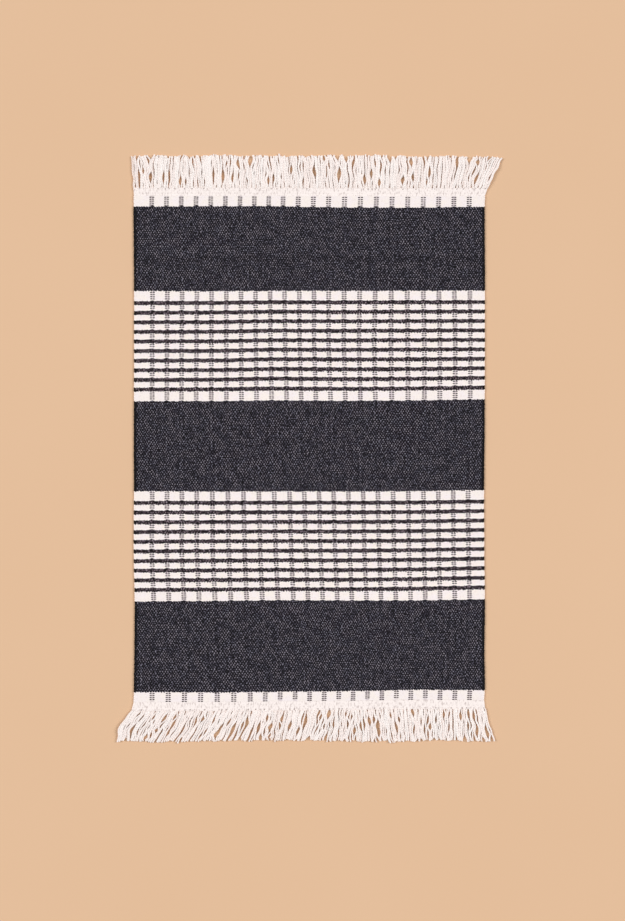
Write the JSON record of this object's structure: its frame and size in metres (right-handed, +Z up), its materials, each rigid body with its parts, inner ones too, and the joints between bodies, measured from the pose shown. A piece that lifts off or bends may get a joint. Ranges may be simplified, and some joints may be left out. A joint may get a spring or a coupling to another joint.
{
  "type": "kitchen rug",
  "caption": "Flat-woven cotton kitchen rug with dark and pale stripes across it and a loose fringe at each short end, lying flat.",
  "frame": {"origin": "the middle of the cloth's underside, where it lies on the floor", "axes": "+X across the rug to its right selvedge, +Y along the rug to its far fringe, +Z up from the floor"},
  "size_m": [0.6606, 1.0072, 0.003],
  "materials": {
    "dark_cotton_weave": "matt flat weave, charcoal twill bands between off-white plain bands with thin charcoal lines and rows of small dark floats",
    "undyed_cotton_yarn": "matt off-white loosely twisted yarn"
  },
  "bodies": {
    "root": {"woven_cloth": "dark_cotton_weave", "near_heading_and_fringe": "undyed_cotton_yarn", "far_heading_and_fringe": "undyed_cotton_yarn"}
  },
  "joints": []
}
